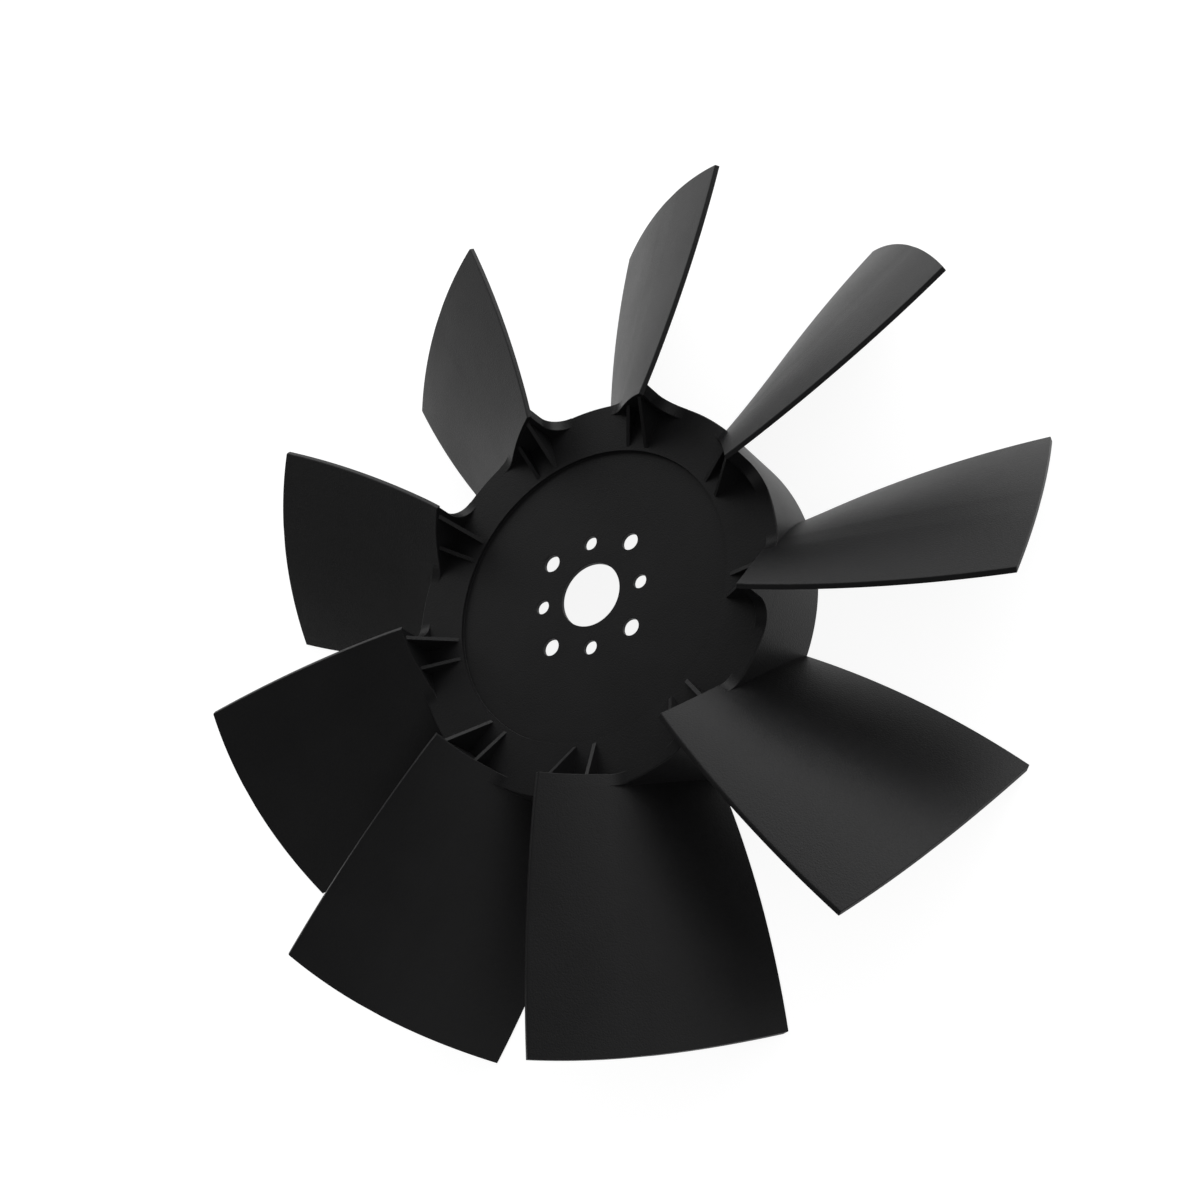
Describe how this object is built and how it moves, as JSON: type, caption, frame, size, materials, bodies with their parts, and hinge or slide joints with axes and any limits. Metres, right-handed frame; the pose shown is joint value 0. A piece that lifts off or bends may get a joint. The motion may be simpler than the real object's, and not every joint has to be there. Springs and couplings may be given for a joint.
{
  "type": "axial fan wheel",
  "caption": "Moulded axial fan wheel: flat hub disc with a bore and two rings of bolt holes, a drum and wide, thin, cambered blades on ribbed root towers.",
  "frame": {"origin": "centre of the bore at the hub disc's front face", "axes": "+Z along the bore axis out of the front, the air inlet side; the blades lead clockwise seen from the front; the wheel lies flat on the trailing edges and the drum's rear edge"},
  "size_m": [0.686, 0.6843, 0.1004],
  "materials": {
    "moulded_plastic": "fine moulded grain, satin black"
  },
  "bodies": {
    "root": {"fan_wheel": "moulded_plastic"}
  },
  "joints": []
}
